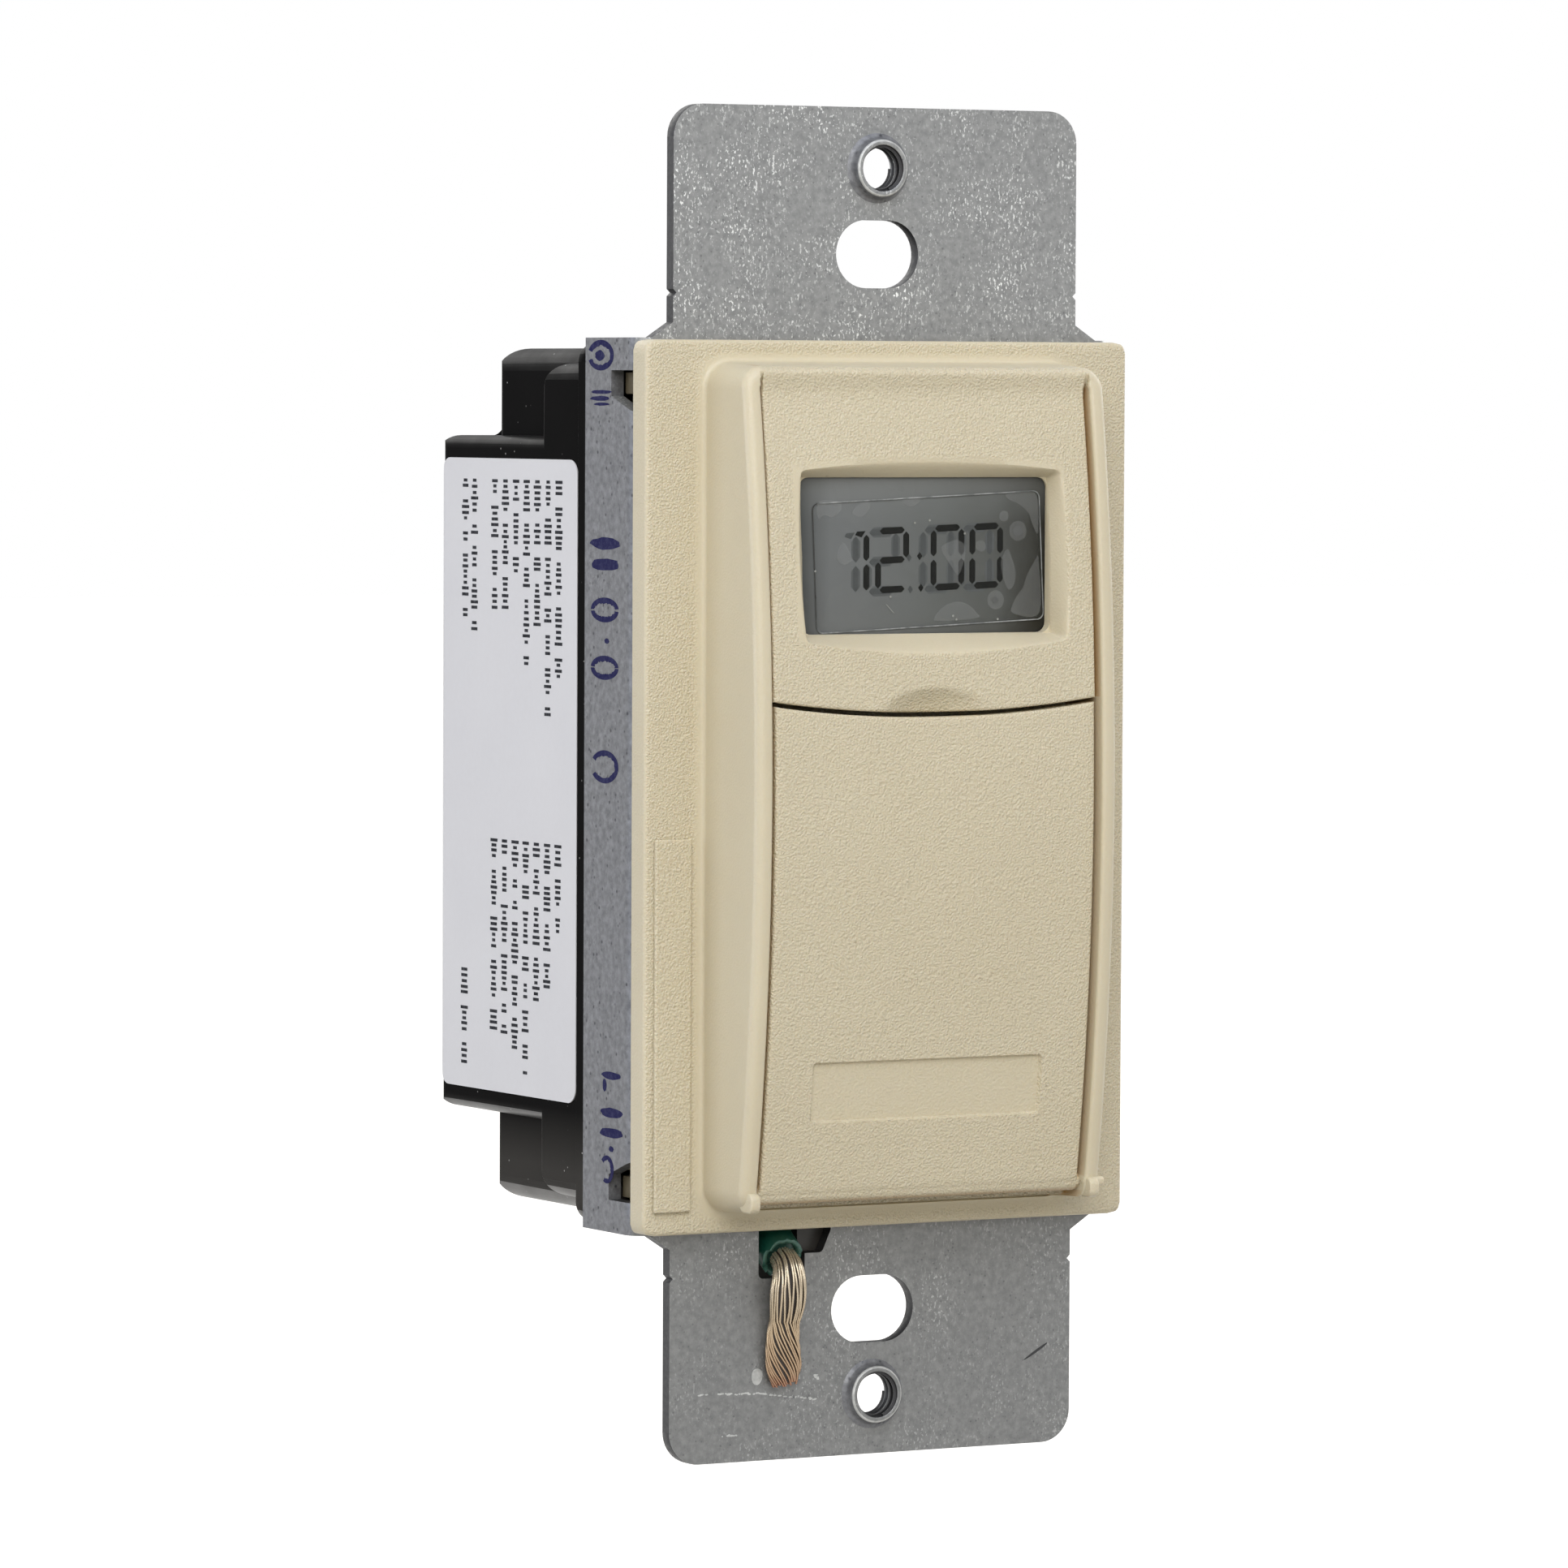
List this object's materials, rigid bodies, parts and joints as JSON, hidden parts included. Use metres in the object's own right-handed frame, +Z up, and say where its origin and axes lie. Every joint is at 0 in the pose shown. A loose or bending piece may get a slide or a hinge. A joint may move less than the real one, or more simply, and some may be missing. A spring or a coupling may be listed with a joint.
{
  "type": "timer light switch",
  "caption": "In-wall digital timer light switch on a steel mounting strap, with a small display, a flip-down door over push buttons, a coin-cell drawer and a black rear housing.",
  "frame": {"origin": "midway between the two wall-plate screw holes, on the rear face of the mounting strap, where it meets the wall box", "axes": "+Z up, the face looks towards -Y, +X to the right of someone facing it"},
  "size_m": [0.0434, 0.0452, 0.1064],
  "materials": {
    "strap": "galvanised, mottled",
    "bezel": "fine moulded grain",
    "door": "fine moulded grain",
    "buttons": "satin",
    "keys": "satin",
    "glass": "glossy",
    "film": "clear, glossy",
    "elastomer": "matt",
    "logic_board": "solder mask",
    "chip": "matt",
    "tin": "satin",
    "brass": "satin",
    "power_board": "bare laminate",
    "barrier": "matt",
    "capacitor_box": "gloss",
    "capacitor_can": "sleeved",
    "varistor": "lacquered",
    "relay_base": "matt",
    "relay_cover": "gloss",
    "coil": "enamelled wire",
    "iron": "plated",
    "housing": "semi-matt",
    "label": "printed paper film",
    "insulation": "smooth",
    "strands": "tinned copper, welded end"
  },
  "bodies": {
    "base": {"mounting_strap": "strap", "bezel": "bezel", "key_switches": "keys", "display_glass": "glass", "display_film": "film", "contact_strips": "elastomer", "display_board": "logic_board", "controller_chip": "chip", "clock_crystal": "tin", "board_header": "brass", "relay_fixed_contacts": "brass", "battery_contacts": "brass", "power_board": "power_board", "barrier_sheet": "barrier", "film_capacitor": "capacitor_box", "smoothing_capacitor": "capacitor_can", "varistor": "varistor", "relay_base": "relay_base", "relay_cover": "relay_cover", "relay_coil": "coil", "relay_core": "iron", "rear_housing": "housing", "rating_label": "label", "ground_lead": "insulation", "ground_strands": "strands"},
    "door": {"door": "door"},
    "drawer": {"battery_drawer": "bezel", "coin_cell": "tin"},
    "mode_button": {"mode_button": "buttons"},
    "on_off_button": {"on_off_button": "buttons"},
    "plus_button": {"plus_button": "buttons"},
    "minus_button": {"minus_button": "buttons"},
    "reset_button": {"reset_button": "buttons"},
    "armature": {"relay_armature": "iron", "relay_blade": "brass"}
  },
  "joints": [
    {"name": "door_hinge", "type": "hinge", "parent": "base", "child": "door", "pos_m": [0, -0.00765, -0.0315], "axis": [1, 0, 0], "range_deg": [-1.2, 110]},
    {"name": "drawer_slide", "type": "slide", "parent": "base", "child": "drawer", "axis": [0, -1, 0], "range_m": [0, 0.03]},
    {"name": "armature_pivot", "type": "hinge", "parent": "base", "child": "armature", "pos_m": [0.00875, 0.0115, 0.0137], "axis": [-1, 0, 0], "range_deg": [0, 3.5], "stiffness_Nm_per_rad": 0.01, "springref_deg": -1.15},
    {"name": "mode_press", "type": "slide", "parent": "base", "child": "mode_button", "axis": [0, 1, 0], "range_m": [0, 0.0004], "stiffness_N_per_m": 400},
    {"name": "on_off_press", "type": "slide", "parent": "base", "child": "on_off_button", "axis": [0, 1, 0], "range_m": [0, 0.0004], "stiffness_N_per_m": 400},
    {"name": "plus_press", "type": "slide", "parent": "base", "child": "plus_button", "axis": [0, 1, 0], "range_m": [0, 0.0004], "stiffness_N_per_m": 400},
    {"name": "minus_press", "type": "slide", "parent": "base", "child": "minus_button", "axis": [0, 1, 0], "range_m": [0, 0.0004], "stiffness_N_per_m": 400},
    {"name": "reset_press", "type": "slide", "parent": "base", "child": "reset_button", "axis": [0, 1, 0], "range_m": [0, 0.0004], "stiffness_N_per_m": 400}
  ]
}
